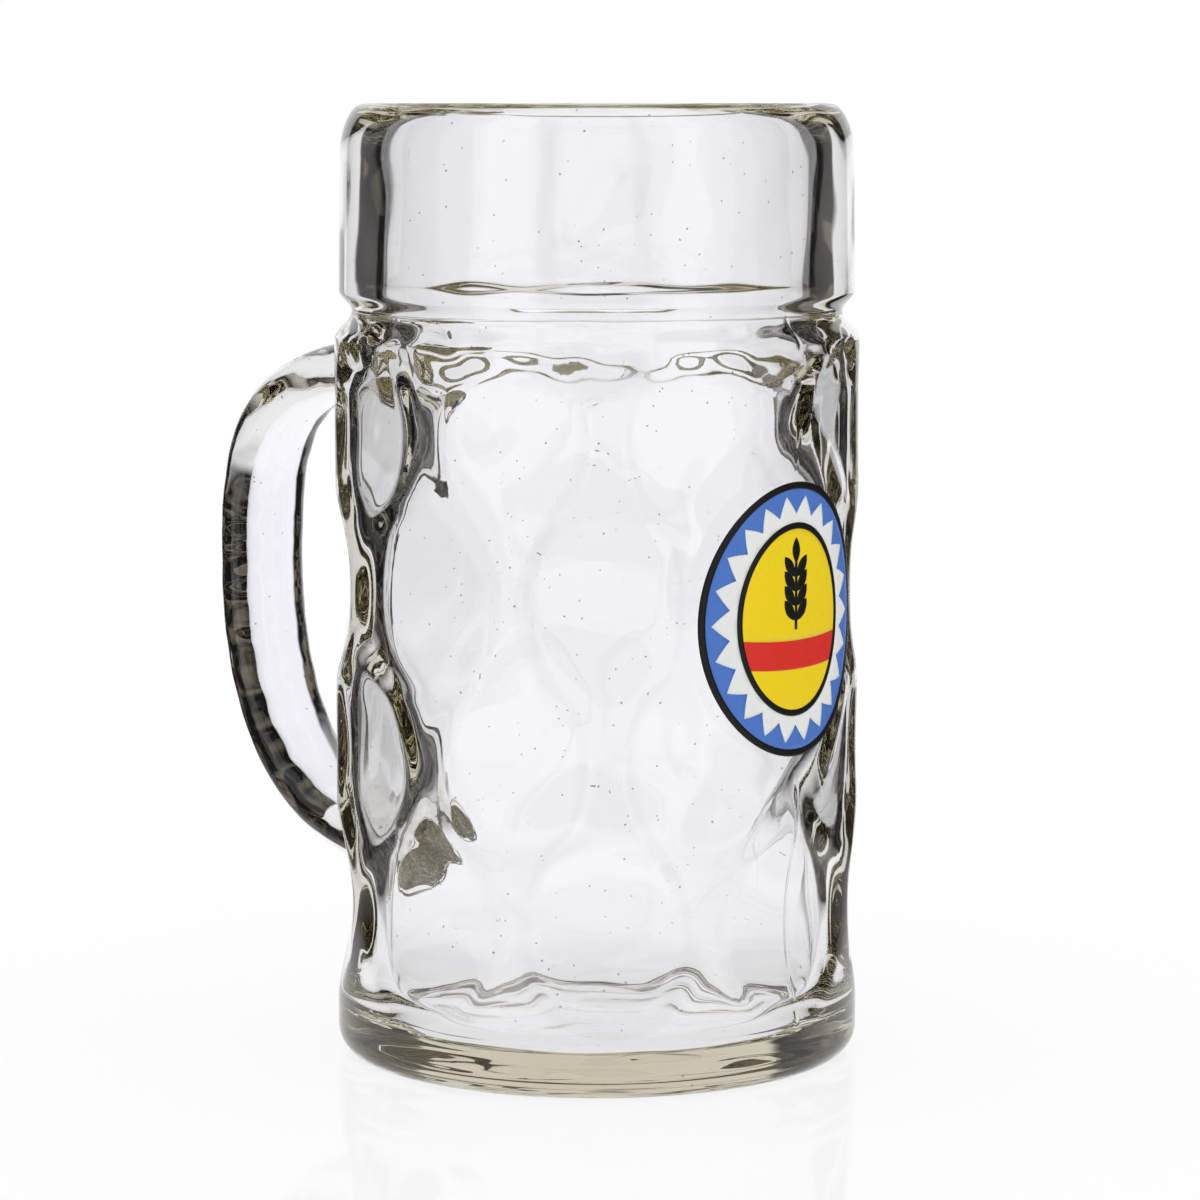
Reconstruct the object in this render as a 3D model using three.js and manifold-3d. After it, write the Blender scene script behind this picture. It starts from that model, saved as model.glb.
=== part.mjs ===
// A one-litre beer mug of clear moulded glass: dimpled wall, solid handle and a fired enamel badge.
// Millimetres, +Z up. The mug stands on Z = 0 round the Z axis, its handle towards +X, its badge towards -X.
import * as THREE from 'three';
import { mergeVertices } from 'three/addons/utils/BufferGeometryUtils.js';
import Module from 'manifold-3d';

const wasm = await Module();
wasm.setup();

// Vessel
const MUG_HEIGHT = 200;
const BODY_RADIUS = 55;
const WALL_THICKNESS = 8.2;
const WALL_TAPER = 0.3;
const FLOOR_THICKNESS = 7.5;
const INNER_CORNER = 10;
const FOOT_CORNER = 6;
const RECESS_RADIUS = 42;
const RECESS_DEPTH = 1;
const RECESS_EDGE = 1.5;

// Neck groove, rim band and lip
const RIM_INSET = 1;
const RIM_THICKNESS = 9;
const RIM_TAPER = 0.4;
const NECK_DEPTH = 3.7;
const NECK_DROP = 43;
const NECK_UPPER_RUN = 4.3;
const NECK_LOWER_RUN = 6;
const LIP_HEIGHT = 11;
const LIP_CREST = 3.4;
const LIP_INNER_DROP = 6;
const INNER_SHOULDER_RUN = 10;

// Dimples
const DIMPLE_ROWS = 4;
const DIMPLES_PER_ROW = 8;
const DIMPLE_RADIUS = 19;
const DIMPLE_DEPTH = 3.1;
const ROW_PITCH = 33.5;
const TOP_ROW_DROP = 17.5;
const BULGE_SHARE = 0.8;
const BULGE_BED = 0.8;

// Plain panel under the badge
const PANEL_HALF_WIDTH = 27.5;
const PANEL_HALF_HEIGHT = 34.5;
const PANEL_ROUNDNESS = 2.6;
const PANEL_RECESS = 0.8;
const PANEL_EDGE = 0.6;
const PANEL_DROP = 55;

// Handle
const HANDLE_STANDOFF = 47;
const HANDLE_WIDTH = 21.6;
const HANDLE_THICKNESS = 12;
const HANDLE_SQUARENESS = 2.3;
const HANDLE_TOP_DROP = 7.2;
const HANDLE_MID_Z = 97;
const HANDLE_FOOT_Z = 36.5;
const HANDLE_TOP_RUN = 42.5;
const HANDLE_TOP_BEND = 30.5;
const HANDLE_FOOT_RUN = 31;
const HANDLE_FOOT_BEND = 35.5;
const ROOT_FLARE = 2;
const ROOT_FLARE_LENGTH = 16;
const ROOT_EMBED = 7;
const ROOT_CLEARANCE = 0.3;

// Enamel badge
const BADGE_HALF_WIDTH = 24;
const BADGE_HALF_HEIGHT = 28;
const PRINT_THICKNESS = 0.4;
const PRINT_CLEARANCE = 0.3;
const PRINT_GAP = 0.35;
const OUTLINE_WIDTH = 1.4;
const BORDER_WIDTH = 6.6;
const TOOTH_COUNT = 22;
const TOOTH_ROOT = 1.3;
const TOOTH_TIP = 4.9;
const TOOTH_GAP = 0.56;
const INNER_LINE_WIDTH = 1.1;
const BAND_HEIGHT = 5.6;
const BAND_DROP = 7.2;
const BAND_SAG = 2.2;
const EAR_BASE_RISE = 2.2;
const EAR_TOP_MARGIN = 1.8;
const GRAIN_PAIRS = 4;
const BARE_STALK_STEPS = 1.35;
const GRAIN_LENGTH_STEPS = 0.86;
const GRAIN_WIDTH_STEPS = 0.4;
const GRAIN_TILT = 0.62;
const GRAIN_ROUNDNESS = 1.7;
const STALK_WIDTH = 0.9;

// Facet counts
const TURN_SEGMENTS = 48;
const DIMPLE_FACETS = { segments: 16, rings: [0.5, 0.82, 1.1] };
const BULGE_FACETS = { segments: 12, rings: [0.6, 1.12] };
const SECTION_SEGMENTS = 20;
const HANDLE_STATIONS = 30;
const OVAL_SEGMENTS = 40;
const BAND_SEGMENTS = 12;
const GRAIN_SEGMENTS = 10;
const FACET_TOLERANCE = 0.01;

// Places that several pieces share
const SHOULDER_Z = MUG_HEIGHT - NECK_DROP - NECK_LOWER_RUN;
const TOP_ROW_Z = SHOULDER_Z - TOP_ROW_DROP;
const HANDLE_TOP_Z = SHOULDER_Z - HANDLE_TOP_DROP;
const PANEL_Z = SHOULDER_Z - PANEL_DROP;
const PANEL_RADIUS = BODY_RADIUS - PANEL_RECESS;
const INNER_RADIUS = BODY_RADIUS - WALL_THICKNESS;
const MOUTH_RADIUS = BODY_RADIUS - RIM_INSET - RIM_THICKNESS;
const CUTTER_REACH = 6;

// How far in from the badge's edge each patch starts, and heights from the badge's middle
const BORDER_START = OUTLINE_WIDTH + PRINT_GAP;
const BORDER_END = BORDER_START + BORDER_WIDTH;
const LINE_START = BORDER_END + PRINT_GAP;
const LINE_END = LINE_START + INNER_LINE_WIDTH;
const FIELD_START = LINE_END + PRINT_GAP;
const BAND_LOW = -BAND_DROP - BAND_HEIGHT / 2;
const BAND_HIGH = BAND_LOW + BAND_HEIGHT;
const EAR_BASE = BAND_HIGH + EAR_BASE_RISE;
const EAR_TIP = BADGE_HALF_HEIGHT - FIELD_START - EAR_TOP_MARGIN;

/** Points of a quarter ellipse from (r0, z0) to (r1, z1); the first leg is vertical or horizontal. */
function quarter(r0, z0, r1, z1, verticalFirst, steps = 4) {
  const points = [];
  for (let i = 1; i <= steps; i += 1) {
    const angle = (i / steps) * (Math.PI / 2);
    const along = Math.sin(angle);
    const across = 1 - Math.cos(angle);
    const [u, v] = verticalFirst ? [across, along] : [along, across];
    points.push(new THREE.Vector2(r0 + (r1 - r0) * u, z0 + (z1 - z0) * v));
  }
  return points;
}

/** Points of a soft S from (r0, z0) to (r1, z1), level with the axis at both ends. */
function sweep(r0, z0, r1, z1, steps = 4) {
  const points = [];
  for (let i = 1; i <= steps; i += 1) {
    const share = i / steps;
    const blend = (1 - Math.cos(Math.PI * share)) / 2;
    points.push(new THREE.Vector2(r0 + (r1 - r0) * blend, z0 + (z1 - z0) * share));
  }
  return points;
}

/** The vessel's outside from the middle of its underside up to the crest of the lip. */
function outerProfile() {
  const rim = BODY_RADIUS - RIM_INSET;
  const neck = BODY_RADIUS - NECK_DEPTH;
  const neckZ = MUG_HEIGHT - NECK_DROP;
  const bandZ = neckZ + NECK_UPPER_RUN;
  const lipZ = MUG_HEIGHT - LIP_HEIGHT;
  const foot = BODY_RADIUS - FOOT_CORNER;
  return [
    new THREE.Vector2(0, RECESS_DEPTH),
    new THREE.Vector2(RECESS_RADIUS, RECESS_DEPTH),
    new THREE.Vector2(RECESS_RADIUS + RECESS_EDGE, 0),
    new THREE.Vector2(foot, 0),
    ...quarter(foot, 0, BODY_RADIUS, FOOT_CORNER, false),
    new THREE.Vector2(BODY_RADIUS, SHOULDER_Z),
    ...sweep(BODY_RADIUS, SHOULDER_Z, neck, neckZ),
    ...sweep(neck, neckZ, rim, bandZ),
    new THREE.Vector2(rim - RIM_TAPER, lipZ),
    ...quarter(rim - RIM_TAPER, lipZ, MOUTH_RADIUS + LIP_CREST, MUG_HEIGHT, true, 5),
  ];
}

/** The vessel's inside from the crest of the lip down to the middle of the floor. */
function innerProfile() {
  const corner = INNER_RADIUS - WALL_TAPER;
  const mouthZ = MUG_HEIGHT - LIP_INNER_DROP;
  return [
    ...quarter(MOUTH_RADIUS + LIP_CREST, MUG_HEIGHT, MOUTH_RADIUS, mouthZ, false, 3),
    new THREE.Vector2(MOUTH_RADIUS, SHOULDER_Z),
    ...sweep(MOUTH_RADIUS, SHOULDER_Z, INNER_RADIUS, SHOULDER_Z - INNER_SHOULDER_RUN),
    new THREE.Vector2(corner, FLOOR_THICKNESS + INNER_CORNER),
    ...quarter(corner, FLOOR_THICKNESS + INNER_CORNER, corner - INNER_CORNER, FLOOR_THICKNESS, true),
    new THREE.Vector2(0, FLOOR_THICKNESS),
  ];
}

/** A closed geometry as a solid for booleans, without its degenerate facets. */
function toSolid(geometry) {
  const bare = geometry.clone();
  bare.deleteAttribute('normal');
  bare.deleteAttribute('uv');
  const merged = mergeVertices(bare, 1e-4);
  const corners = merged.index.array;
  const facets = [];
  for (let i = 0; i < corners.length; i += 3) {
    const [a, b, c] = [corners[i], corners[i + 1], corners[i + 2]];
    if (a !== b && b !== c && c !== a) facets.push(a, b, c);
  }
  const mesh = new wasm.Mesh({
    numProp: 3,
    vertProperties: new Float32Array(merged.attributes.position.array),
    triVerts: new Uint32Array(facets),
  });
  return new wasm.Manifold(mesh);
}

/** The main body that a cut leaves, without hair-thin facets or crumbs where facets only graze each other. */
function mainBody(solid) {
  const parts = solid.simplify(FACET_TOLERANCE).decompose();
  return parts.reduce((kept, part) => (part.volume() > kept.volume() ? part : kept));
}

/** A profile turned about the Z axis. */
function turned(profile) {
  return toSolid(new THREE.LatheGeometry(profile, TURN_SEGMENTS).rotateX(Math.PI / 2));
}

/** A solid between two radii that stands round the vessel from z0 to z1. */
function turnedRing(inner, outer, z0, z1) {
  const corners = [[inner, z0], [outer, z0], [outer, z1], [inner, z1], [inner, z0]];
  return turned(corners.map(([r, z]) => new THREE.Vector2(r, z)));
}

/** A closed geometry whose rings of points are joined in turn and closed by a point at each end. */
function ringed(start, rings, end) {
  const size = rings[0].length;
  const points = [start, ...rings.flat(), end];
  const last = points.length - 1;
  const facets = [];
  for (let j = 0; j < size; j += 1) {
    const next = (j + 1) % size;
    facets.push(0, 1 + next, 1 + j);
    for (let i = 0; i + 1 < rings.length; i += 1) {
      const low = 1 + i * size;
      const high = low + size;
      facets.push(low + j, low + next, high + j, low + next, high + next, high + j);
    }
    const top = last - size;
    facets.push(top + j, top + next, last);
  }
  const geometry = new THREE.BufferGeometry();
  geometry.setAttribute('position', new THREE.Float32BufferAttribute(points.flat(), 3));
  geometry.setIndex(facets);
  return geometry;
}

/** The dish of one dimple: deepest in its middle, out through a wall of the given radius at its edge. */
function dimpleDish(angle, z, wall, depth, facets) {
  const place = (radius, along, up) => {
    const turn = angle + along / BODY_RADIUS;
    return [radius * Math.cos(turn), radius * Math.sin(turn), z + up];
  };
  const rings = facets.rings.map((share) => {
    const radius = wall - depth * (1 - share * share);
    const ring = [];
    for (let j = 0; j < facets.segments; j += 1) {
      const around = (j / facets.segments) * 2 * Math.PI;
      const reach = DIMPLE_RADIUS * share;
      ring.push(place(radius, reach * Math.cos(around), reach * Math.sin(around)));
    }
    return ring;
  });
  return toSolid(ringed(place(wall - depth, 0, 0), rings, place(wall + CUTTER_REACH, 0, 0)));
}

/** The rows of dimples, every other one shifted half a pitch; none lies under the lower root or the badge. */
function dimplePattern(wall, depth, facets) {
  const pitch = (2 * Math.PI) / DIMPLES_PER_ROW;
  const dishes = [];
  for (let row = 0; row < DIMPLE_ROWS; row += 1) {
    const z = TOP_ROW_Z - row * ROW_PITCH;
    const shift = row % 2 === 0 ? 0.5 : 0;
    for (let k = 0; k < DIMPLES_PER_ROW; k += 1) {
      const angle = (k + shift) * pitch;
      const underRoot = angle < pitch / 4 && Math.abs(z - HANDLE_FOOT_Z) < DIMPLE_RADIUS;
      const underBadge = Math.abs(angle - Math.PI) < pitch / 4 && Math.abs(z - PANEL_Z) < DIMPLE_RADIUS;
      if (!underRoot && !underBadge) dishes.push(dimpleDish(angle, z, wall, depth, facets));
    }
  }
  return wasm.Manifold.union(dishes);
}

/** A flat outline seen from the badge's side, carried straight through the wall there. */
function throughWall(shape) {
  const depth = BODY_RADIUS + CUTTER_REACH;
  const geometry = new THREE.ExtrudeGeometry(shape, { depth, bevelEnabled: false, curveSegments: 1 });
  const facing = new THREE.Matrix4().makeBasis(
    new THREE.Vector3(0, -1, 0),
    new THREE.Vector3(0, 0, 1),
    new THREE.Vector3(-1, 0, 0),
  );
  return toSolid(geometry.applyMatrix4(facing.setPosition(0, 0, PANEL_Z)));
}

/** A closed outline: an oval, squarer as its roundness rises above 2. */
function oval(halfWidth, halfHeight, roundness = 2, segments = OVAL_SEGMENTS) {
  const points = [];
  for (let i = 0; i < segments; i += 1) {
    const angle = (i / segments) * 2 * Math.PI;
    const [c, s] = [Math.cos(angle), Math.sin(angle)];
    const x = Math.sign(c) * Math.abs(c) ** (2 / roundness);
    const y = Math.sign(s) * Math.abs(s) ** (2 / roundness);
    points.push(new THREE.Vector2(halfWidth * x, halfHeight * y));
  }
  return new THREE.Shape(points);
}

/** The vessel's outside as one solid with its dimples and panel, grown outwards for what seats on it. */
function outerSolid(profile, growth) {
  const panel = (margin) => throughWall(
    oval(PANEL_HALF_WIDTH + margin, PANEL_HALF_HEIGHT + margin, PANEL_ROUNDNESS),
  );
  const skin = turnedRing(PANEL_RADIUS + growth, BODY_RADIUS + CUTTER_REACH, 0, MUG_HEIGHT);
  const dimples = dimplePattern(BODY_RADIUS + growth, DIMPLE_DEPTH, DIMPLE_FACETS).subtract(panel(0));
  return turned(profile).subtract(dimples).subtract(skin.intersect(panel(PANEL_EDGE)));
}

/** The whole vessel: its inside follows the dimples in softer bulges, so that the wall stays about even. */
function vesselSolid() {
  const bulges = dimplePattern(INNER_RADIUS, DIMPLE_DEPTH * BULGE_SHARE, BULGE_FACETS);
  const bed = turnedRing(MOUTH_RADIUS / 2, INNER_RADIUS + BULGE_BED, FLOOR_THICKNESS, SHOULDER_Z);
  return outerSolid([...outerProfile(), ...innerProfile()], 0).add(bulges.intersect(bed));
}

/** The outside alone, closed over the mouth and moved out by the growth. */
function envelope(growth) {
  const grown = outerProfile().map((p) => new THREE.Vector2(p.x > 0 ? p.x + growth : 0, p.y));
  return outerSolid([...grown, new THREE.Vector2(0, MUG_HEIGHT)], growth);
}

/** The handle's middle line: out from under the shoulder, down past the fingers and back to the foot. */
function handlePath() {
  const at = (r, z) => new THREE.Vector3(r, 0, z);
  const root = BODY_RADIUS - ROOT_EMBED;
  const reach = BODY_RADIUS + HANDLE_STANDOFF;
  const path = new THREE.CurvePath();
  path.add(new THREE.CubicBezierCurve3(
    at(root, HANDLE_TOP_Z),
    at(BODY_RADIUS + HANDLE_TOP_RUN, HANDLE_TOP_Z),
    at(reach, HANDLE_MID_Z + HANDLE_TOP_BEND),
    at(reach, HANDLE_MID_Z),
  ));
  path.add(new THREE.CubicBezierCurve3(
    at(reach, HANDLE_MID_Z),
    at(reach, HANDLE_MID_Z - HANDLE_FOOT_BEND),
    at(BODY_RADIUS + HANDLE_FOOT_RUN, HANDLE_FOOT_Z),
    at(root, HANDLE_FOOT_Z),
  ));
  return path;
}

/** A rounded section carried along the handle's path, wider where it runs into the wall. */
function handleLoft() {
  const path = handlePath();
  const length = path.getLength();
  const section = oval(1, 1, HANDLE_SQUARENESS, SECTION_SEGMENTS).getPoints();
  section.length = SECTION_SEGMENTS;
  const rings = [];
  for (let i = 0; i <= HANDLE_STATIONS; i += 1) {
    const share = i / HANDLE_STATIONS;
    const point = path.getPointAt(share);
    const tangent = path.getTangentAt(share);
    const fromRoot = Math.max(0, Math.min(share, 1 - share) * length - ROOT_EMBED);
    const flare = ROOT_FLARE * Math.max(0, 1 - fromRoot / ROOT_FLARE_LENGTH) ** 2;
    const thick = HANDLE_THICKNESS / 2 + flare;
    const wide = HANDLE_WIDTH / 2 + flare;
    rings.push(section.map(({ x, y }) => [
      point.x - tangent.z * thick * x,
      -wide * y,
      point.z + tangent.x * thick * x,
    ]));
  }
  return toSolid(ringed(path.getPointAt(0).toArray(), rings, path.getPointAt(1).toArray()));
}

/** The badge's oval drawn in from its edge. */
function badgeOval(inset) {
  return oval(BADGE_HALF_WIDTH - inset, BADGE_HALF_HEIGHT - inset);
}

/** The badge's oval with teeth that run between two insets. */
function toothedOval(root, tip) {
  const points = [];
  for (let i = 0; i < 2 * TOOTH_COUNT; i += 1) {
    const angle = (i / (2 * TOOTH_COUNT)) * 2 * Math.PI;
    const inset = i % 2 === 0 ? root : tip;
    const x = (BADGE_HALF_WIDTH - inset) * Math.cos(angle);
    const y = (BADGE_HALF_HEIGHT - inset) * Math.sin(angle);
    points.push(new THREE.Vector2(x, y));
  }
  return new THREE.Shape(points);
}

/** A sagging band across the badge between two heights at its middle. */
function bandShape(low, high) {
  const at = (share, y) => new THREE.Vector2(BADGE_HALF_WIDTH * share, y + BAND_SAG * share * share);
  const lower = [];
  const upper = [];
  for (let i = 0; i <= BAND_SEGMENTS; i += 1) {
    const share = (2 * i) / BAND_SEGMENTS - 1;
    lower.push(at(share, low));
    upper.unshift(at(share, high));
  }
  return new THREE.Shape([...lower, ...upper]);
}

/** An ear of barley as one solid: a stalk, paired grains and a grain on top, widened by a margin. */
function earSolid(margin) {
  const step = (EAR_TIP - EAR_BASE) / (GRAIN_PAIRS + 1 + 1.5 * GRAIN_LENGTH_STEPS);
  const top = EAR_BASE + (GRAIN_PAIRS + 1) * step;
  const halfLength = GRAIN_LENGTH_STEPS * step;
  const halfWidth = GRAIN_WIDTH_STEPS * step;
  const halfStalk = STALK_WIDTH / 2 + margin;
  const stalk = new THREE.Shape([
    new THREE.Vector2(-halfStalk, EAR_BASE - margin),
    new THREE.Vector2(halfStalk, EAR_BASE - margin),
    new THREE.Vector2(halfStalk, top),
    new THREE.Vector2(-halfStalk, top),
  ]);
  const grain = (x, y, tilt) => {
    const [width, length] = [halfWidth + margin, halfLength + margin];
    const outline = oval(width, length, GRAIN_ROUNDNESS, GRAIN_SEGMENTS).getPoints();
    const pivot = new THREE.Vector2();
    const place = new THREE.Vector2(x, y);
    const moved = outline.slice(0, GRAIN_SEGMENTS).map((p) => p.rotateAround(pivot, tilt).add(place));
    return throughWall(new THREE.Shape(moved));
  };
  const pieces = [throughWall(stalk), grain(0, top + halfLength / 2, 0)];
  for (let i = 0; i < GRAIN_PAIRS; i += 1) {
    const y = EAR_BASE + (i + BARE_STALK_STEPS) * step;
    const x = halfLength * Math.sin(GRAIN_TILT) + STALK_WIDTH / 2;
    pieces.push(grain(x, y, -GRAIN_TILT), grain(-x, y, GRAIN_TILT));
  }
  return wasm.Manifold.union(pieces);
}

/** The enamel patches of the badge, side by side in one thin film that follows the panel. */
function badgeFilms() {
  const inner = PANEL_RADIUS + PRINT_CLEARANCE;
  const low = PANEL_Z - PANEL_HALF_HEIGHT;
  const high = PANEL_Z + PANEL_HALF_HEIGHT;
  const film = turnedRing(inner, inner + PRINT_THICKNESS, low, high);
  const within = (shape) => film.intersect(throughWall(shape));
  const ring = (start, end) => within(badgeOval(start)).subtract(throughWall(badgeOval(end)));
  const teeth = (gap) => toothedOval(BORDER_START + TOOTH_ROOT + gap, BORDER_START + TOOTH_TIP + gap);
  const field = within(badgeOval(FIELD_START));
  const above = field.intersect(throughWall(bandShape(BAND_HIGH + PRINT_GAP, BADGE_HALF_HEIGHT)));
  const below = throughWall(bandShape(-BADGE_HALF_HEIGHT - BAND_SAG, BAND_LOW - PRINT_GAP));
  return {
    print_outline: ring(0, OUTLINE_WIDTH),
    print_blue_border: within(badgeOval(BORDER_START)).subtract(throughWall(teeth(0))),
    print_white_border: within(teeth(TOOTH_GAP)).subtract(throughWall(badgeOval(BORDER_END))),
    print_inner_line: ring(LINE_START, LINE_END),
    print_yellow_field: above.subtract(earSolid(PRINT_GAP)),
    print_red_band: field.intersect(throughWall(bandShape(BAND_LOW, BAND_HIGH))),
    print_yellow_base: field.intersect(below),
    print_barley_ear: above.intersect(earSolid(0)),
  };
}

/** A solid as a named mesh with its own material. */
function piece(name, solid, material) {
  const { vertProperties, triVerts } = mainBody(solid).getMesh();
  const geometry = new THREE.BufferGeometry();
  geometry.setAttribute('position', new THREE.Float32BufferAttribute(vertProperties, 3));
  geometry.setIndex([...triVerts]);
  geometry.computeVertexNormals();
  const mesh = new THREE.Mesh(geometry, material);
  mesh.name = name;
  return mesh;
}

const glass = () => new THREE.MeshStandardMaterial({
  color: 0xe4e8df, roughness: 0.04, metalness: 0, transparent: true, opacity: 0.35,
});
const enamel = (color) => new THREE.MeshStandardMaterial({ color, roughness: 0.3, metalness: 0 });
const INKS = {
  print_outline: 0x141412,
  print_blue_border: 0x3f6fcb,
  print_white_border: 0xe9ebe8,
  print_inner_line: 0x141412,
  print_yellow_field: 0xf2d413,
  print_red_band: 0xdc2a22,
  print_yellow_base: 0xf2d413,
  print_barley_ear: 0x141412,
};

const group = new THREE.Group();
group.name = 'beer_mug';
group.add(piece('mug_body', vesselSolid(), glass()));
group.add(piece('handle', handleLoft().subtract(envelope(ROOT_CLEARANCE)), glass()));

const badge = new THREE.Group();
badge.name = 'badge';
for (const [name, solid] of Object.entries(badgeFilms())) badge.add(piece(name, solid, enamel(INKS[name])));
group.add(badge);

export default group;
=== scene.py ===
"""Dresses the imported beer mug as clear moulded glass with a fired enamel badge, in a white studio.

Lengths in the classes are millimetres, as in the part's source, and the meshes are made in metres.
"""
import logging
import math
from dataclasses import dataclass, field
from enum import Enum
from itertools import takewhile
from typing import Any, Sequence

import bpy
import numpy as np
from mathutils import Matrix, Vector


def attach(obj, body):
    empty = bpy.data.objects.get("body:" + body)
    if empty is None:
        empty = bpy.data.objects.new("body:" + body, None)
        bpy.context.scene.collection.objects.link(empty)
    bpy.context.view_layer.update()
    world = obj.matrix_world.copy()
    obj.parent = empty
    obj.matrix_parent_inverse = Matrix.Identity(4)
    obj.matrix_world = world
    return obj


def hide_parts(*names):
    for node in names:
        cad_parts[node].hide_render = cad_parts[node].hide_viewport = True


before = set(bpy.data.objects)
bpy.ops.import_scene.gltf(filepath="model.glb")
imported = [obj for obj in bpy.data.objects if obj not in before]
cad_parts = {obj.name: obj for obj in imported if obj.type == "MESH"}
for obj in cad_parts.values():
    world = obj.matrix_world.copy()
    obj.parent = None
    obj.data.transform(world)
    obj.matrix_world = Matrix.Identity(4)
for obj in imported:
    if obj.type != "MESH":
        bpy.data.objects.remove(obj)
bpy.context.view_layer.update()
MM = 0.001
TURN = 2.0 * math.pi
TINY = 1e-6
WHITE = (1.0, 1.0, 1.0, 1.0)
LOG = logging.getLogger("mug")
Point = tuple[float, float]


class Op(Enum):
    """Math node operations that the socket wrapper uses."""

    ADD = "ADD"
    SUBTRACT = "SUBTRACT"
    MULTIPLY = "MULTIPLY"
    DIVIDE = "DIVIDE"
    POWER = "POWER"
    ARCTAN2 = "ARCTAN2"
    GREATER = "GREATER_THAN"


class Sock:
    """A shader socket whose arithmetic adds Math nodes."""

    def __init__(self, tree: bpy.types.NodeTree, out: bpy.types.NodeSocket | None) -> None:
        """Keeps the node tree and one of its output sockets."""
        self.tree = tree
        self.out = out

    def pick(self, name: str | int) -> "Sock":
        """Another output of the same node, by name or number."""
        return Sock(self.tree, self.out.node.outputs[name])

    def math(self, op: Op, other: Any, flip: bool = False) -> "Sock":
        """Adds one Math node on this socket and another value.

        Args:
            op: Operation of the node.
            other: A socket or a number.
            flip: Whether the other value comes first.

        Returns:
            The result's socket.
        """
        node = self.tree.nodes.new("ShaderNodeMath")
        node.operation = op.value
        pair = (other, self) if flip else (self, other)
        for slot, value in zip(node.inputs, pair):
            if isinstance(value, Sock):
                self.tree.links.new(value.out, slot)
            else:
                slot.default_value = value
        return Sock(self.tree, node.outputs[0])

    def __add__(self, other: Any) -> "Sock":
        """Sum with a socket or number."""
        return self.math(Op.ADD, other)

    def __rsub__(self, other: Any) -> "Sock":
        """Difference of a number and this socket."""
        return self.math(Op.SUBTRACT, other, flip=True)

    def __mul__(self, other: Any) -> "Sock":
        """Product with a socket or number."""
        return self.math(Op.MULTIPLY, other)

    def __truediv__(self, other: Any) -> "Sock":
        """Quotient by a socket or number."""
        return self.math(Op.DIVIDE, other)

    __rmul__ = __mul__


class Shader:
    """A node tree that is being written."""

    def __init__(self, tree: bpy.types.NodeTree) -> None:
        """Keeps and empties the node tree of a material or world."""
        self.tree = tree
        tree.nodes.clear()

    @classmethod
    def material(cls, name: str) -> tuple["Shader", bpy.types.Material]:
        """Makes a new node material.

        Args:
            name: Material name.

        Returns:
            The writer and the material.
        """
        made = bpy.data.materials.new(name)
        made.use_nodes = True
        return cls(made.node_tree), made

    def node(self, kind: str, sockets: dict | None = None, **settings: Any) -> Sock:
        """Adds a node.

        Args:
            kind: Node type without its ShaderNode prefix.
            sockets: Values or links of inputs, by name or number.
            settings: Attributes of the node, set first; stops are a ramp's pairs of place and grey.

        Returns:
            The node's first output, if it has one.
        """
        made = self.tree.nodes.new("ShaderNode" + kind)
        for place, grey in settings.pop("stops", ()):
            element = made.color_ramp.elements.new(place)
            element.color = (grey, grey, grey, 1.0)
        for key, value in settings.items():
            setattr(made, key, value)
        for key, value in (sockets or {}).items():
            if isinstance(value, Sock):
                self.tree.links.new(value.out, made.inputs[key])
            else:
                made.inputs[key].default_value = value
        return Sock(self.tree, next(iter(made.outputs), None))

    def ramp(self, value: Sock, stops: Sequence[Point]) -> Sock:
        """Maps a value through grey stops.

        Args:
            value: Place on the ramp, 0 to 1.
            stops: Pairs of place and grey value, in order.

        Returns:
            The grey value, the same as the end stops beyond them.
        """
        made = self.node("ValToRGB", {"Fac": value}, stops=stops)
        band = made.out.node.color_ramp.elements
        band.remove(band[-1] if band[-1].position > stops[-1][0] else band[-2])
        band.remove(band[0])
        return made

    def mix(self, share: Any, low: Any, high: Any) -> Sock:
        """Blends two colours, or their sockets, by the share of the second."""
        return self.node("Mix", {0: share, 6: low, 7: high}, data_type="RGBA").pick(2)


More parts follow.
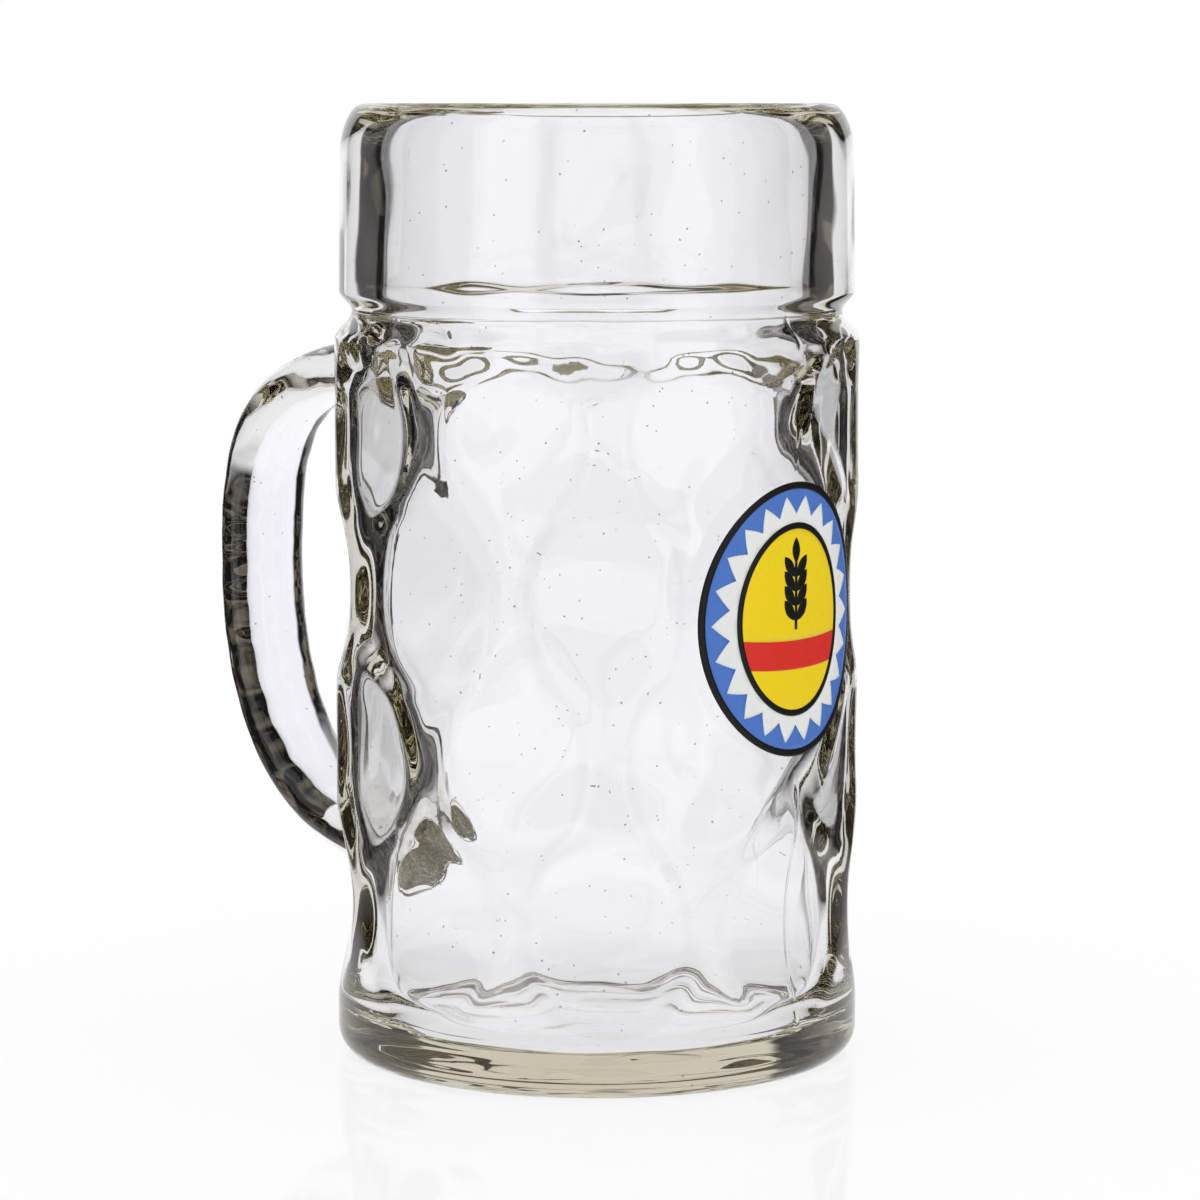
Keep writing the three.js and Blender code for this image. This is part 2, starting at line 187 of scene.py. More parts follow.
@dataclass(frozen=True)
class GlassFinish:
    """Clear soda-lime glass: fire-polished, faintly wavy, with small seeds, olive grey where it is thick."""

    ior: float = 1.52
    absorb_colour: tuple[float, float, float] = (0.845, 0.822, 0.725)
    absorb_density: float = 34.0
    ripple_scale: float = 70.0
    ripple_height: float = 0.00003
    haze_scale: float = 900.0
    haze_band: Point = (0.55, 0.9)
    haze: float = 0.02
    seed_scale: float = 300.0
    seed_size: float = 0.085
    seed_core: float = 0.6
    seed_share: float = 0.5
    seed_tone: tuple[float, float, float] = (0.16, 0.155, 0.14)

    def make(self) -> bpy.types.Material:
        """Builds the material: a smooth dielectric round a tinted volume.

        Seeds are the near part of Voronoi cells that lie on the skin; they darken what passes there.

        Returns:
            The material.
        """
        sh, made = Shader.material("clear_glass")
        place = sh.node("TexCoord").pick("Object")
        wavy = sh.node("TexNoise", {"Vector": place, "Scale": self.ripple_scale, "Detail": 1.0})
        bump = sh.node("Bump", {"Height": wavy, "Strength": 1.0, "Distance": self.ripple_height})
        hazy = sh.node("TexNoise", {"Vector": place, "Scale": self.haze_scale, "Detail": 3.0})
        cell = sh.node("TexVoronoi", {"Vector": place, "Scale": self.seed_scale})
        lot = sh.node("SeparateColor", {"Color": cell.pick("Color")})
        near = sh.ramp(cell, ((self.seed_core * self.seed_size, 1.0), (self.seed_size, 0.0)))
        seed = near * lot.math(Op.GREATER, 1.0 - self.seed_share)
        body = sh.node("BsdfPrincipled", {
            "Base Color": sh.mix(seed, WHITE, (*self.seed_tone, 1.0)),
            "Roughness": sh.ramp(hazy, tuple(zip(self.haze_band, (0.0, self.haze)))),
            "Normal": bump,
            "IOR": self.ior,
            "Transmission Weight": 1.0,
        })
        deep = {"Color": (*self.absorb_colour, 1.0), "Density": self.absorb_density}
        tint = sh.node("VolumeAbsorption", deep)
        sh.node("OutputMaterial", {"Surface": body, "Volume": tint})
        return made


class Ink(Enum):
    """Enamel colours of the badge."""

    BLACK = (0.011, 0.011, 0.010)
    BLUE = (0.075, 0.185, 0.565)
    WHITE = (0.80, 0.82, 0.80)
    YELLOW = (0.88, 0.65, 0.006)
    RED = (0.70, 0.028, 0.018)


@dataclass(frozen=True)
class EnamelFinish:
    """A fired ceramic ink: even colour with fine mottling under a soft gloss."""

    ink: Ink
    mottle_scale: float = 420.0
    grain_scale: float = 2600.0
    mottle_share: float = 0.35
    spread: float = 0.12
    gloss: tuple[Point, Point] = ((0.3, 0.22), (0.7, 0.36))
    peel: float = 0.00005
    peel_share: float = 0.25
    ior: float = 1.3

    def make(self) -> bpy.types.Material:
        """Builds the material: two close tones mottled by noise and the print's grain, and a faint peel.

        Returns:
            The material.
        """
        sh, made = Shader.material("enamel_" + self.ink.name.lower())
        place = sh.node("TexCoord").pick("Object")
        mottle = sh.node("TexNoise", {"Vector": place, "Scale": self.mottle_scale, "Detail": 4.0})
        grain = sh.node("TexVoronoi", {"Vector": place, "Scale": self.grain_scale})
        light = tuple(min(1.0, tone * (1.0 + 0.5 * self.spread)) for tone in self.ink.value)
        dark = tuple(tone * (1.0 - self.spread) for tone in self.ink.value)
        bump = sh.node("Bump", {"Height": mottle, "Strength": self.peel_share, "Distance": self.peel})
        body = sh.node("BsdfPrincipled", {
            "Base Color": sh.mix(self.mottle_share * (mottle + grain), (*light, 1.0), (*dark, 1.0)),
            "Roughness": sh.ramp(mottle, self.gloss),
            "Normal": bump,
            "IOR": self.ior,
        })
        sh.node("OutputMaterial", {"Surface": body})
        return made


def mesh_object(
    name: str, points: np.ndarray, faces: np.ndarray, finish: bpy.types.Material,
) -> bpy.types.Object:
    """Makes a smooth-shaded mesh object at the origin.

    Args:
        name: Object name.
        points: Vertices in millimetres, shape (n, 3).
        faces: Vertex numbers of quads, shape (m, 4); a triangle repeats its last corner.
        finish: Material of the whole mesh.

    Returns:
        The linked object.
    """
    corners = [face[:3] if face[2] == face[3] else face for face in faces.tolist()]
    data = bpy.data.meshes.new(name)
    data.from_pydata((points * MM).tolist(), [], corners)
    data.validate()
    data.polygons.foreach_set("use_smooth", np.ones(len(data.polygons), dtype=bool))
    data.materials.append(finish)
    data.update()
    made = bpy.data.objects.new(name, data)
    bpy.context.scene.collection.objects.link(made)
    return made


def quads(rows: np.ndarray, closed: bool) -> np.ndarray:
    """Joins a grid of vertex numbers by quads.

    Args:
        rows: Vertex numbers, shape (rows, columns).
        closed: Whether the last column joins the first.

    Returns:
        Quads, shape (n, 4), that face along the column direction cross the row direction.
    """
    wide = np.concatenate([rows, rows[:, :1]], axis=1) if closed else rows
    low, high = wide[:-1], wide[1:]
    return np.stack([low[:, :-1], low[:, 1:], high[:, 1:], high[:, :-1]], axis=-1).reshape(-1, 4)


def ease(share: np.ndarray) -> np.ndarray:
    """Smooth step: three squares less two cubes of a share held between 0 and 1."""
    held = np.clip(share, 0.0, 1.0)
    return held * held * (3.0 - 2.0 * held)


@dataclass
class Dimples:
    """Staggered rows of round dimples, broken by the badge's plain panel and the handle's lower root."""

    rows: int = 4
    per_row: int = 8
    radius: float = 19.0
    depth: float = 3.1
    softness: float = 0.14
    cutoff: float = 0.01
    top_row_z: float = 133.5
    pitch: float = 33.5
    wall_radius: float = 55.0
    root_z: float = 36.5
    panel_half_width: float = 27.5
    panel_half_height: float = 34.5
    panel_roundness: float = 2.6
    panel_z: float = 96.0
    panel_recess: float = 0.8
    panel_blend: float = 0.3

    def panel_mask(self, theta: np.ndarray, z: np.ndarray) -> np.ndarray:
        """1 on the panel and 0 off it: a smooth step across a superellipse.

        Args:
            theta: Angle about the axis, from the handle.
            z: Height.

        Returns:
            The mask.
        """
        side = np.abs(self.wall_radius * np.sin(theta)) / self.panel_half_width
        rise = np.abs(z - self.panel_z) / self.panel_half_height
        reach = (side ** self.panel_roundness + rise ** self.panel_roundness) ** (1.0 / self.panel_roundness)
        return np.where(np.cos(theta) < 0.0, ease((1.0 - reach) / self.panel_blend + 0.5), 0.0)

    def depth_at(self, theta: np.ndarray, z: np.ndarray) -> np.ndarray:
        """How far the wall lies inside its ridges.

        Each dimple is a paraboloid on the unrolled wall: the depth times one less the squared share of the
        dimple's radius, rounded at its edge by a soft maximum with zero. The panel's recess replaces it.

        Args:
            theta: Angle about the axis, from the handle.
            z: Height.

        Returns:
            Depth in millimetres.
        """
        total = np.zeros(np.broadcast(theta, z).shape)
        step = TURN / self.per_row
        under_root = np.abs(np.mod(theta / step + 0.5, self.per_row) - 0.5) <= 0.5
        for row in range(self.rows):
            middle = self.top_row_z - row * self.pitch
            shift = 0.5 * ((row + 1) % 2)
            turn = np.mod(theta / step - shift + 0.5, 1.0) - 0.5
            share = 1.0 - ((turn * step * self.wall_radius) ** 2 + (z - middle) ** 2) / self.radius ** 2
            dish = np.maximum(0.5 * (share + np.sqrt(share * share + self.softness ** 2)) - self.cutoff, 0.0)
            if shift == 0.0 and abs(middle - self.root_z) < self.radius:
                dish = np.where(under_root, 0.0, dish)
            total = total + dish
        mask = self.panel_mask(theta, z)
        return self.depth * total * (1.0 - mask) + self.panel_recess * mask


class Skin(Enum):
    """Parts of the vessel's skin that are shaped in different ways."""

    PLAIN = "plain"
    OUTSIDE = "outside"
    INSIDE = "inside"
    LEVEL = "level"


class Curve(Enum):
    """Ways from one point of the section to the next."""

    LINE = "straight"
    SWEEP = "soft S"
    LEVEL_ARC = "quarter ellipse that starts level"
    UPRIGHT_ARC = "quarter ellipse that starts upright"


@dataclass(frozen=True)
class Leg:
    """A stretch of the vessel's section, from the end of the one before it."""

    end: Point
    steps: int
    curve: Curve
    skin: Skin

    def points(self, start: Point) -> np.ndarray:
        """Points along the leg.

        A line blends its ends. A sweep is a half cosine in radius over an even rise. An arc is a sine along
        the axis that it starts on, and one less a cosine along the other.

        Args:
            start: First radius and height, which is left out.

        Returns:
            Points, shape (steps, 2).
        """
        share = np.linspace(0.0, 1.0, self.steps + 1)[1:]
        along, across = np.sin(0.5 * math.pi * share), 1.0 - np.cos(0.5 * math.pi * share)
        out, up = {
            Curve.LINE: (share, share),
            Curve.SWEEP: (0.5 - 0.5 * np.cos(math.pi * share), share),
            Curve.LEVEL_ARC: (along, across),
            Curve.UPRIGHT_ARC: (across, along),
        }[self.curve]
        return np.array(start) + (np.array(self.end) - np.array(start)) * np.stack([out, up], axis=1)


@dataclass
class Vessel:
    """The vessel's turned section, from the middle of the underside round to the middle of the floor."""

    height: float = 200.0
    body: float = 55.0
    inner: float = 46.8
    inner_taper: float = 0.3
    floor: float = 7.5
    corner: float = 10.0
    foot_corner: float = 6.0
    recess: float = 42.0
    recess_depth: float = 1.0
    recess_edge: float = 1.5
    hub: float = 2.0
    rim: float = 54.0
    rim_top: float = 53.6
    mouth: float = 45.0
    neck: float = 51.3
    neck_z: float = 157.0
    shoulder_z: float = 151.0
    inner_shoulder_run: float = 10.0
    band_z: float = 161.3
    lip_height: float = 11.0
    crest: float = 48.4
    inner_lip: float = 6.0
    wall_rows: int = 126
    inner_wall_rows: int = 70

    def legs(self) -> list[Leg]:
        """Legs of the section from the underside up to the crest of the lip and down to the inner floor.

        Returns:
            The legs, in order.
        """
        inner_foot = self.inner - self.inner_taper
        return [
            Leg((self.recess, self.recess_depth), 12, Curve.LINE, Skin.LEVEL),
            Leg((self.recess + self.recess_edge, 0.0), 3, Curve.LINE, Skin.PLAIN),
            Leg((self.body - self.foot_corner, 0.0), 3, Curve.LINE, Skin.PLAIN),
            Leg((self.body, self.foot_corner), 9, Curve.LEVEL_ARC, Skin.PLAIN),
            Leg((self.body, self.shoulder_z), self.wall_rows, Curve.LINE, Skin.OUTSIDE),
            Leg((self.neck, self.neck_z), 9, Curve.SWEEP, Skin.OUTSIDE),
            Leg((self.rim, self.band_z), 7, Curve.SWEEP, Skin.PLAIN),
            Leg((self.rim_top, self.height - self.lip_height), 14, Curve.LINE, Skin.PLAIN),
            Leg((self.crest, self.height), 14, Curve.UPRIGHT_ARC, Skin.PLAIN),
            Leg((self.mouth, self.height - self.inner_lip), 8, Curve.LEVEL_ARC, Skin.PLAIN),
            Leg((self.mouth, self.shoulder_z), 16, Curve.LINE, Skin.INSIDE),
            Leg((self.inner, self.shoulder_z - self.inner_shoulder_run), 10, Curve.SWEEP, Skin.INSIDE),
            Leg((inner_foot, self.floor + self.corner), self.inner_wall_rows, Curve.LINE, Skin.INSIDE),
            Leg((inner_foot - self.corner, self.floor), 12, Curve.UPRIGHT_ARC, Skin.INSIDE),
            Leg((self.hub, self.floor), 16, Curve.LINE, Skin.LEVEL),
        ]

    def section(self) -> tuple[np.ndarray, dict[Skin, np.ndarray]]:
        """The whole section.

        Returns:
            Points (n, 2) as radius and height, and a mask (n, 1) of each part of the skin.
        """
        legs = self.legs()
        starts = [(self.hub, self.recess_depth)] + [leg.end for leg in legs]
        points = np.concatenate([leg.points(start) for leg, start in zip(legs, starts)])
        masks = {}
        for skin in Skin:
            masks[skin] = np.concatenate([np.full((leg.steps, 1), float(leg.skin is skin)) for leg in legs])
        return points, masks

    def foot_rows(self) -> int:
        """Count of the section's rows below the outer wall."""
        foot = takewhile(lambda leg: leg.skin is not Skin.OUTSIDE, self.legs())
        return sum(leg.steps for leg in foot)


@dataclass(frozen=True)
class Lumps:
    """Waves of one kind along and round the handle: most waves along the path and round the section."""

    height: float
    count: int
    pace: int
    turns: int


@dataclass(frozen=True)
class Ripple:
    """Slow waves round and up the wall: most waves in one turn, and the shortest wave up the wall."""

    height: float
    seed: int
    turns: int
    length: float
    count: int = 14

    def at(self, theta: np.ndarray, z: np.ndarray) -> np.ndarray:
        """The waves at some places: a sum of sines with seeded paces and phases.

        Args:
            theta: Angle about the axis.
            z: Height.

        Returns:
            The wave in millimetres; its root mean square is 0.7 of the height.
        """
        rng = np.random.default_rng(self.seed)
        total = np.zeros(np.broadcast(theta, z).shape)
        for _ in range(self.count):
            climb = rng.uniform(0.2, 1.0) * TURN / self.length * rng.choice((-1.0, 1.0))
            turn = rng.integers(1, self.turns + 1) * theta
            total = total + np.sin(turn + climb * z + rng.uniform(0.0, TURN))
        return self.height * total / math.sqrt(self.count)


@dataclass
class Handle:
    """The handle's middle line and its rounded section."""

    wall: float = 55.0
    embed: float = 7.0
    standoff: float = 47.0
    top_z: float = 143.8
    mid_z: float = 97.0
    foot_z: float = 36.5
    top_run: float = 42.5
    top_bend: float = 30.5
    foot_run: float = 31.0
    foot_bend: float = 35.5
    width: float = 21.6
    thickness: float = 11.76
    squareness: float = 2.3
    flare: float = 2.0
    flare_length: float = 16.0
    fillet: float = 8.0
    stations: int = 220
    track_points: int = 600
    half_step: float = 0.5
    seed: int = 11
    lumps: Lumps = Lumps(height=0.07, count=12, pace=16, turns=3)
    scars: Lumps = Lumps(height=0.012, count=24, pace=52, turns=9)

    def bezier(self, corners: Sequence[Point]) -> np.ndarray:
        """A cubic Bezier arc of four corners.

        Args:
            corners: Start, two handles and end.

        Returns:
            Points, shape (track_points, 2).
        """
        t = np.linspace(0.0, 1.0, self.track_points)[:, None]
        a, b, c, d = (np.array(corner) for corner in corners)
        return (1 - t) ** 3 * a + 3 * (1 - t) ** 2 * t * b + 3 * (1 - t) * t * t * c + t ** 3 * d

    def path(self) -> tuple[np.ndarray, np.ndarray, np.ndarray]:
        """Two Bezier arcs in the XZ plane, taken at even steps between the two fillets.

        Returns:
            Points (n, 2), unit tangents (n, 2) and distance from the nearer root (n).
        """
        reach, root = self.wall + self.standoff, self.wall - self.embed
        middle = (reach, self.mid_z)
        over = (self.wall + self.top_run, self.top_z)
        under = (self.wall + self.foot_run, self.foot_z)
        upper = self.bezier(((root, self.top_z), over, (reach, self.mid_z + self.top_bend), middle))
        lower = self.bezier((middle, (reach, self.mid_z - self.foot_bend), under, (root, self.foot_z)))
        track = np.concatenate([upper, lower[1:]])
        along = np.concatenate([[0.0], np.cumsum(np.linalg.norm(np.diff(track, axis=0), axis=1))])
        margin = self.embed + self.fillet
        want = np.linspace(margin, along[-1] - margin, self.stations)
        points = np.stack([np.interp(want, along, axis) for axis in track.T], axis=1)
        ahead, back = want + self.half_step, want - self.half_step
        lead = [np.interp(ahead, along, axis) - np.interp(back, along, axis) for axis in track.T]
        tangent = np.stack(lead, axis=1)
        tangent /= np.linalg.norm(tangent, axis=1)[:, None]
        return points, tangent, np.minimum(want, along[-1] - want) - self.embed

    def wave(self, share: np.ndarray, bearing: np.ndarray) -> np.ndarray:
        """Lumps and fine scars of drawn glass: sums of sines along the path and round the section.

        Args:
            share: Share of the path, 0 to 1, at whose ends the waves fade out.
            bearing: Angle round the section.

        Returns:
            Height of the waves in millimetres.
        """
        rng = np.random.default_rng(self.seed)
        total = np.zeros(np.broadcast(share, bearing).shape)
        for kind in (self.lumps, self.scars):
            for _ in range(kind.count):
                phase = rng.uniform(0.3, 1.0) * kind.pace * TURN * share
                phase = phase + rng.integers(-kind.turns, kind.turns + 1) * bearing + rng.uniform(0.0, TURN)
                total = total + kind.height / math.sqrt(kind.count) * np.sin(phase)
        return total * np.sqrt(np.sin(math.pi * share))

    def rings(self, bearing: np.ndarray) -> tuple[np.ndarray, np.ndarray]:
        """The handle's skin: a superellipse carried along the path, wider towards its roots.

        Args:
            bearing: Angles round the section, from sideways towards the path's normal.

        Returns:
            Points (stations, angles, 3) and path tangents (stations, 3).
        """
        points, tangent, from_root = self.path()
        flare = self.flare * np.clip(1.0 - from_root / self.flare_length, 0.0, 1.0)[:, None] ** 2
        power = 2.0 / self.squareness
        up = np.sign(np.sin(bearing)) * np.abs(np.sin(bearing)) ** power
        side = np.sign(np.cos(bearing)) * np.abs(np.cos(bearing)) ** power
        wave = self.wave(np.linspace(0.0, 1.0, len(points))[:, None], bearing[None, :])
        thick = (self.thickness / 2.0 + flare + wave) * up[None, :]
        wide = (self.width / 2.0 + flare + wave) * side[None, :]
        x, z = points[:, :1] - tangent[:, 1:] * thick, points[:, 1:] + tangent[:, :1] * thick
        lead = np.stack([tangent[:, 0], np.zeros(len(tangent)), tangent[:, 1]], axis=-1)
        return np.stack([x, wide, z], axis=-1), lead


@dataclass
class GlassMug:
    """Vessel and handle as one skin of glass, the handle drawn out of the wall with fillets."""

    vessel: Vessel = field(default_factory=Vessel)
    dimples: Dimples = field(default_factory=Dimples)
    bulges: Dimples = field(
        default_factory=lambda: Dimples(depth=2.48, softness=0.2, panel_recess=0.0, panel_blend=0.5),
    )
    handle: Handle = field(default_factory=Handle)
    columns: int = 240
    seam_columns: int = 6
    seam_height: float = 0.14
    seam_width: float = 0.45
    outer_ripple: Ripple = Ripple(height=0.055, seed=3, turns=16, length=14.0)
    inner_ripple: Ripple = Ripple(height=0.09, seed=5, turns=16, length=24.0)
    shoulder_ripple: Ripple = Ripple(height=0.15, seed=9, turns=30, length=8.0)
    shoulder_reach: float = 4.5
    floor_fade: float = 1.8
    floor_ripple: float = 0.34
    floor_wave: float = 14.0
    floor_waves: int = 10
    floor_seed: int = 23
    hole_columns: int = 9
    hole_rows: int = 9
    hole_fade: float = 1.3
    top_root_drop: float = 3.4
    fillet_rings: int = 9
    fillet_leave: float = 5.5
    fillet_arrive: float = 11.0

    def pool(self, x: np.ndarray, y: np.ndarray) -> np.ndarray:
        """Waves across the floor and underside: a sum of sines in several directions.

        Args:
            x: Place along X.
            y: Place along Y.

        Returns:
            The wave in millimetres; its root mean square is 0.7 of the ripple's height.
        """
        rng = np.random.default_rng(self.floor_seed)
        total = np.zeros(x.shape)
        for _ in range(self.floor_waves):
            bearing, pace = rng.uniform(0.0, TURN), rng.uniform(0.3, 1.0) * TURN / self.floor_wave
            along = x * math.cos(bearing) + y * math.sin(bearing)
            total = total + np.sin(pace * along + rng.uniform(0.0, TURN))
        return self.floor_ripple * total / math.sqrt(self.floor_waves)

    def grid(self) -> np.ndarray:
        """The vessel's skin: the section turned about Z, less dimples and inner bulges, plus ripples.

        Returns:
            Points, shape (rows, columns, 3).
        """
        section, masks = self.vessel.section()
        outside, inside = masks[Skin.OUTSIDE], masks[Skin.INSIDE]
        around, z = np.meshgrid(self.bearings(), section[:, 1])
        for centre in self.root_heights():
            around, z = self.round_hole(around, z, centre, outside)
        plain = self.dimples.panel_mask(around, z)
        low = self.vessel.shoulder_z - self.vessel.inner_shoulder_run
        fade = 1.0 - ease((z - low) / self.vessel.inner_shoulder_run)
        fade = fade * ease((z - self.vessel.floor) / (self.floor_fade * self.vessel.corner))
        seam = np.exp(-((np.mod(around, TURN) - math.pi) * self.vessel.body / self.seam_width) ** 2)
        relief = self.outer_ripple.at(around, z) + self.seam_height * seam
        radius = section[:, :1] + outside * ((1.0 - plain) * relief - self.dimples.depth_at(around, z))
        radius = np.minimum(radius, self.vessel.body) - inside * fade * self.bulges.depth_at(around, z)
        radius = radius + inside * self.inner_ripple.at(around, z)
        near = np.exp(-((z - self.vessel.shoulder_z) / self.shoulder_reach) ** 2)
        radius = radius + inside * near * self.shoulder_ripple.at(around, z)
        x, y = radius * np.cos(around), radius * np.sin(around)
        return np.stack([x, y, z + masks[Skin.LEVEL] * self.pool(x, y)], axis=-1)

    def bearings(self) -> np.ndarray:
        """Angles of the grid's columns: even steps, with extra ones over the mould seam opposite the handle.

        Returns:
            Angles, in order.
        """
        step = TURN / self.columns
        even = np.arange(self.columns) * step
        near = np.linspace(-1.0, 1.0, self.seam_columns + 3)[1:-1]
        extra = math.pi + near[near != 0.0] * step
        return np.sort(np.concatenate([even, extra]))

    def root_heights(self) -> Point:
        """Heights of the middles of the two handle roots on the wall."""
        return self.handle.top_z - self.top_root_drop, self.handle.foot_z

    def row_pitch(self) -> float:
        """Height between rows of the outer wall."""
        return (self.vessel.shoulder_z - self.vessel.foot_corner) / self.vessel.wall_rows

    def round_hole(
        self, around: np.ndarray, z: np.ndarray, centre: float, weight: np.ndarray,
    ) -> tuple[np.ndarray, np.ndarray]:
        """Draws the square grid round a handle root in to an oval, fading out over the next cells.

        Args:
            around: Angle of each grid point.
            z: Height of each grid point.
            centre: Height of the root's middle.
            weight: 1 on rows of the outer wall.

        Returns:
            The moved angles and heights.
        """
        turn = np.mod(around + math.pi, TURN) - math.pi
        u = turn / (self.hole_columns * TURN / self.columns)
        v = (z - centre) / (self.hole_rows * self.row_pitch())
        square = np.maximum(np.maximum(np.abs(u), np.abs(v)), TINY)
        disc = square / np.maximum(np.hypot(u, v), TINY)
        fade = ease((square - 1.0) / self.hole_fade)
        scale = 1.0 + weight * (disc - 1.0) * (1.0 - fade)
        return np.where(fade < 1.0, turn * scale, around), centre + (z - centre) * scale

    def loop(self, middle_row: int, flipped: bool, columns: int) -> np.ndarray:
        """Grid places round the hole that a handle root leaves, anticlockwise from outside.

        Args:
            middle_row: Grid row at the hole's middle.
            flipped: Whether up and down change places.
            columns: Columns of the grid.

        Returns:
            Rows and columns, shape (n, 2).
        """
        across = np.arange(-self.hole_columns, self.hole_columns)
        rise = np.arange(-self.hole_rows, self.hole_rows)
        wide, high = np.full(len(rise), self.hole_columns), np.full(len(across), self.hole_rows)
        rows = np.concatenate([-high, rise, high, -rise])
        places = np.concatenate([across, wide, -across, -wide])
        return np.stack([middle_row + (-rows if flipped else rows), places % columns], axis=1)

    def fillet(self, start: np.ndarray, centre: np.ndarray, end: np.ndarray, lead: np.ndarray) -> np.ndarray:
        """Rings between wall and handle: cubic Hermite lines, level with the wall and then along the handle.

        Args:
            start: Points on the wall, shape (n, 3).
            centre: The hole's middle on the wall.
            end: Points of the handle's first ring, shape (n, 3).
            lead: The handle's direction away from the wall.

        Returns:
            Points, shape (rings, n, 3).
        """
        outward = start * np.array([1.0, 1.0, 0.0])
        outward /= np.linalg.norm(outward, axis=1)[:, None]
        inward = centre - start
        inward -= (inward * outward).sum(axis=1)[:, None] * outward
        inward /= np.linalg.norm(inward, axis=1)[:, None]
        t = np.linspace(0.0, 1.0, self.fillet_rings + 2)[1:-1, None, None]
        leave, arrive = inward[None] * self.fillet_leave, lead[None, None] * self.fillet_arrive
        start_part = (2 * t ** 3 - 3 * t ** 2 + 1) * start[None] + (t ** 3 - 2 * t ** 2 + t) * leave
        end_part = (3 * t ** 2 - 2 * t ** 3) * end[None] + (t ** 3 - t ** 2) * arrive
        return start_part + end_part

    def build(self, finish: bpy.types.Material) -> bpy.types.Object:
        """Makes the glass as one closed mesh: the grid, a fan at each pole, the handle between two holes.

        Args:
            finish: The glass.

        Returns:
            The object.
        """
        grid = self.grid()
        rows, columns = grid.shape[:2]
        number = np.arange(rows * columns).reshape(rows, columns)
        base, corner = self.vessel.foot_rows() - 1, self.vessel.foot_corner
        middles = [base + round((z - corner) / self.row_pitch()) for z in self.root_heights()]
        keep = np.ones((rows - 1, columns), dtype=bool)
        across = np.arange(-self.hole_columns, self.hole_columns)
        for middle in middles:
            keep[middle - self.hole_rows:middle + self.hole_rows, across] = False
        under, inner = rows * columns, rows * columns + 1
        poles = np.array([[0.0, 0.0, self.vessel.recess_depth], [0.0, 0.0, self.vessel.floor]])
        loops = [self.loop(middle, flipped, columns) for middle, flipped in zip(middles, (False, True))]
        tube = self.tube(grid, middles, loops)
        ids = inner + 1 + np.arange(tube.shape[0] * tube.shape[1]).reshape(tube.shape[:2])
        ends = [number[loop[:, 0], loop[:, 1]][None] for loop in loops]
        first, last = number[0], number[-1]
        faces = np.concatenate([
            quads(number, True).reshape(rows - 1, columns, 4)[keep],
            np.stack([np.roll(first, -1), first, np.full(columns, under), np.full(columns, under)], axis=1),
            np.stack([last, np.roll(last, -1), np.full(columns, inner), np.full(columns, inner)], axis=1),
            quads(np.concatenate([ends[0], ids, ends[1]]), True),
        ])
        points = np.concatenate([grid.reshape(-1, 3), poles, tube.reshape(-1, 3)])
        return mesh_object("mug_glass", points, faces, finish)

    def tube(self, grid: np.ndarray, middles: Sequence[int], loops: Sequence[np.ndarray]) -> np.ndarray:
        """The handle's rings with a fillet at each end.

        Args:
            grid: The vessel's skin.
            middles: Grid rows of the two roots' middles.
            loops: Grid places round the two holes.

        Returns:
            Points, shape (rings, n, 3).
        """
        columns = grid.shape[1]
        rise = loops[0][:, 0] - middles[0]
        across = np.mod(loops[0][:, 1] + columns // 2, columns) - columns // 2
        skin, lead = self.handle.rings(np.arctan2(rise / self.hole_rows, across / self.hole_columns))
        edges = [grid[loop[:, 0], loop[:, 1]] for loop in loops]
        top = self.fillet(edges[0], grid[middles[0], 0], skin[0], lead[0])
        foot = self.fillet(edges[1], grid[middles[1], 0], skin[-1], -lead[-1])[::-1]
        return np.concatenate([top, skin, foot])


